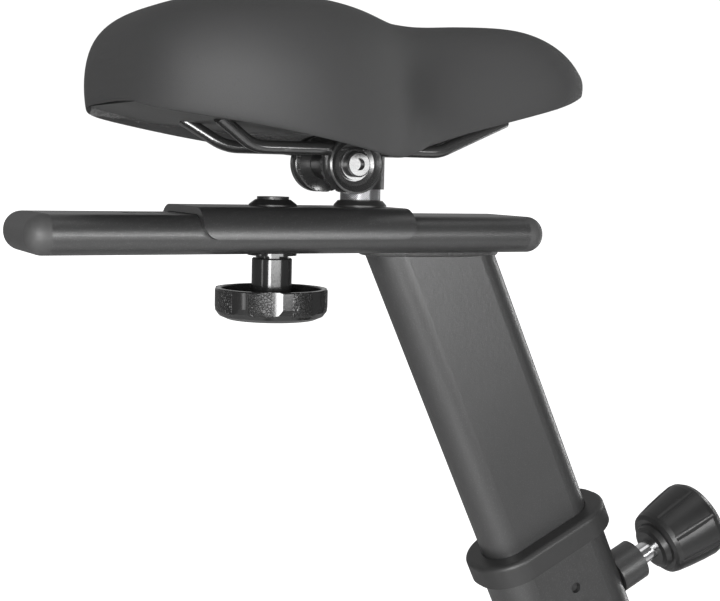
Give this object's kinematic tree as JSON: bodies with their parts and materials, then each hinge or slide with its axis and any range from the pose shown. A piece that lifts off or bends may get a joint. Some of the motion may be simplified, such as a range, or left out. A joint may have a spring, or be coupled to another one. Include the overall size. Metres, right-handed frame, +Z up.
{
  "type": "exercise bike",
  "caption": "Upright indoor exercise bike with sliding padded saddle, telescoping flat-oval posts, belt-driven flywheel with magnetic brake, and floor stabilisers.",
  "frame": {"origin": "on the floor under the middle of the bike's bounding box", "axes": "+X forward, the way the rider faces; +Y to the rider's left; +Z up"},
  "size_m": [1.09, 0.528, 1.1884],
  "materials": {
    "frame_paint": "fine satin powder coat, near black",
    "black_plastic": "matte moulded plastic",
    "cap_plastic": "matte dark grey plastic",
    "knob_plastic": "glossy moulded plastic",
    "saddle_skin": "smooth dark grey synthetic cover over foam",
    "black_steel": "black plated steel",
    "bright_steel": "polished plated steel",
    "cast_iron": "machined and lacquered iron",
    "bearing_steel": "ground steel",
    "pedal_alloy": "black anodised alloy",
    "rubber": "moulded rubber",
    "grip_foam": "dipped foam",
    "screen_glass": "dark display window",
    "strap": "flexible strap"
  },
  "bodies": {
    "frame": {"seat_tube": "frame_paint", "main_tube": "frame_paint", "base_beam": "frame_paint", "floor_beam": "frame_paint", "head_tube": "frame_paint", "fork_blades": "frame_paint", "bottom_bracket_shell": "frame_paint", "front_stabiliser": "frame_paint", "rear_stabiliser": "frame_paint", "stabiliser_end_caps": "cap_plastic", "welded_bosses": "frame_paint", "seat_tube_collar": "black_plastic", "handlebar_collar": "black_plastic", "crank_bearings": "bearing_steel", "flywheel_axle": "bearing_steel", "belt_cover_outer": "black_plastic", "belt_cover_inner": "black_plastic", "levelling_feet": "rubber", "drive_belt": "rubber"},
    "seat_mast": {"seat_post": "frame_paint", "seat_rail": "frame_paint", "rail_end_caps": "cap_plastic"},
    "seat_carriage": {"carriage": "frame_paint", "carriage_boss": "black_steel", "saddle_pin": "black_steel"},
    "seat_carriage_knob": {"carriage_knob": "knob_plastic"},
    "saddle_clamp": {"clamp_sleeve": "black_steel"},
    "saddle": {"clamp_cheeks": "black_steel", "clamp_bolt": "black_steel", "saddle_rails": "black_steel", "saddle_base": "black_plastic", "saddle_pad": "saddle_skin"},
    "seat_pin": {"seat_pin_plunger": "bright_steel"},
    "seat_pin_handle": {"seat_pin_knob": "knob_plastic"},
    "handlebar_mast": {"handlebar_post": "frame_paint", "handlebar": "frame_paint", "handlebar_grips": "grip_foam", "console_bracket": "frame_paint"},
    "handlebar_pin": {"handlebar_pin_plunger": "bright_steel"},
    "handlebar_pin_handle": {"handlebar_pin_knob": "knob_plastic"},
    "console": {"console_housing": "black_plastic", "console_screen": "screen_glass"},
    "console_key": {"console_button": "rubber"},
    "cranks": {"crank_spindle": "bearing_steel", "drive_pulley": "black_plastic", "crank_arm_left": "black_steel", "crank_arm_right": "black_steel", "pedal_axles": "bearing_steel"},
    "pedal_left_body": {"pedal_left": "pedal_alloy", "toe_strap_left": "strap"},
    "pedal_right_body": {"pedal_right": "pedal_alloy", "toe_strap_right": "strap"},
    "flywheel_body": {"flywheel": "cast_iron", "flywheel_bearings": "bearing_steel", "flywheel_pulley": "black_steel"},
    "brake_screw": {"brake_rod": "bright_steel"},
    "brake_handle": {"brake_knob": "knob_plastic"},
    "magnet_carrier": {"brake_lever": "black_steel"},
    "wheel_left": {"transport_wheel_left": "rubber"},
    "wheel_right": {"transport_wheel_right": "rubber"}
  },
  "joints": [
    {"name": "seat_height", "type": "slide", "parent": "frame", "child": "seat_mast", "axis": [-0.421, 0, 0.907], "range_m": [-0.1, 0.075]},
    {"name": "seat_fore_aft", "type": "slide", "parent": "seat_mast", "child": "seat_carriage", "axis": [1, 0, 0], "range_m": [-0.07, 0.03]},
    {"name": "carriage_knob_turn", "type": "hinge", "parent": "seat_carriage", "child": "seat_carriage_knob", "pos_m": [-0.3901, 0, 0.9], "axis": [0, 0, 1], "range_deg": [0, 360]},
    {"name": "saddle_swivel", "type": "hinge", "parent": "seat_carriage", "child": "saddle_clamp", "pos_m": [-0.338, 0, 0.96], "axis": [0, 0, 1], "range_deg": [-15, 15]},
    {"name": "saddle_tilt", "type": "hinge", "parent": "saddle_clamp", "child": "saddle", "pos_m": [-0.3535, 0, 0.9674], "axis": [0, 1, 0], "range_deg": [-10, 10]},
    {"name": "seat_pin_pull", "type": "slide", "parent": "frame", "child": "seat_pin", "axis": [0.907, 0, 0.421], "range_m": [0, 0.008], "stiffness_N_per_m": 900, "springref_m": -0.006},
    {"name": "seat_pin_turn", "type": "hinge", "parent": "seat_pin", "child": "seat_pin_handle", "pos_m": [-0.11758, 0, 0.73136], "axis": [0.907, 0, 0.421], "continuous": true},
    {"name": "handlebar_height", "type": "slide", "parent": "frame", "child": "handlebar_mast", "axis": [-0.2334, 0, 0.9724], "range_m": [-0.06, 0.05]},
    {"name": "handlebar_pin_pull", "type": "slide", "parent": "frame", "child": "handlebar_pin", "axis": [-0.9724, 0, -0.2334], "range_m": [0, 0.008], "stiffness_N_per_m": 900, "springref_m": -0.006},
    {"name": "handlebar_pin_turn", "type": "hinge", "parent": "handlebar_pin", "child": "handlebar_pin_handle", "pos_m": [0.14839, 0, 0.78626], "axis": [-0.9724, 0, -0.2334], "continuous": true},
    {"name": "console_tilt", "type": "hinge", "parent": "handlebar_mast", "child": "console", "pos_m": [0.26308, 0, 1.11142], "axis": [0, 1, 0], "range_deg": [-20, 15]},
    {"name": "console_button_press", "type": "slide", "parent": "console", "child": "console_key", "axis": [0.5299, 0, -0.848], "range_m": [0, 0.0015], "stiffness_N_per_m": 600, "springref_m": -0.0008},
    {"name": "flywheel_spin", "type": "hinge", "parent": "frame", "child": "flywheel_body", "pos_m": [0.345, 0, 0.31], "axis": [0, 1, 0], "continuous": true},
    {"name": "crank_turn", "type": "hinge", "parent": "frame", "child": "cranks", "pos_m": [-0.02, 0, 0.33], "axis": [0, 1, 0], "continuous": true},
    {"name": "pedal_left_spin", "type": "hinge", "parent": "cranks", "child": "pedal_left_body", "pos_m": [-0.19, 0.134, 0.33], "axis": [0, 1, 0], "continuous": true},
    {"name": "pedal_right_spin", "type": "hinge", "parent": "cranks", "child": "pedal_right_body", "pos_m": [0.15, -0.134, 0.33], "axis": [0, 1, 0], "continuous": true},
    {"name": "brake_knob_turn", "type": "hinge", "parent": "brake_screw", "child": "brake_handle", "pos_m": [0.03847, 0, 0.60853], "axis": [0.8635, 0, -0.5044], "range_deg": [0, 450]},
    {"name": "brake_screw_advance", "type": "slide", "parent": "frame", "child": "brake_screw", "axis": [0.8635, 0, -0.5044], "range_m": [0, 0.005]},
    {"name": "magnet_carrier_swing", "type": "hinge", "parent": "frame", "child": "magnet_carrier", "pos_m": [0.19905, 0, 0.59001], "axis": [0, -1, 0], "range_deg": [0, 5]},
    {"name": "transport_wheel_left_roll", "type": "hinge", "parent": "frame", "child": "wheel_left", "pos_m": [0.475, 0.222, 0.038], "axis": [0, 1, 0], "continuous": true},
    {"name": "transport_wheel_right_roll", "type": "hinge", "parent": "frame", "child": "wheel_right", "pos_m": [0.475, -0.222, 0.038], "axis": [0, 1, 0], "continuous": true}
  ],
  "couplings": [
    {"joint": "crank_turn", "follows": "flywheel_spin", "ratio": 0.29474},
    {"joint": "brake_knob_turn", "follows": "brake_screw_advance", "rad_per_m": 1570.8},
    {"joint": "magnet_carrier_swing", "follows": "brake_screw_advance", "rad_per_m": 15.385}
  ]
}
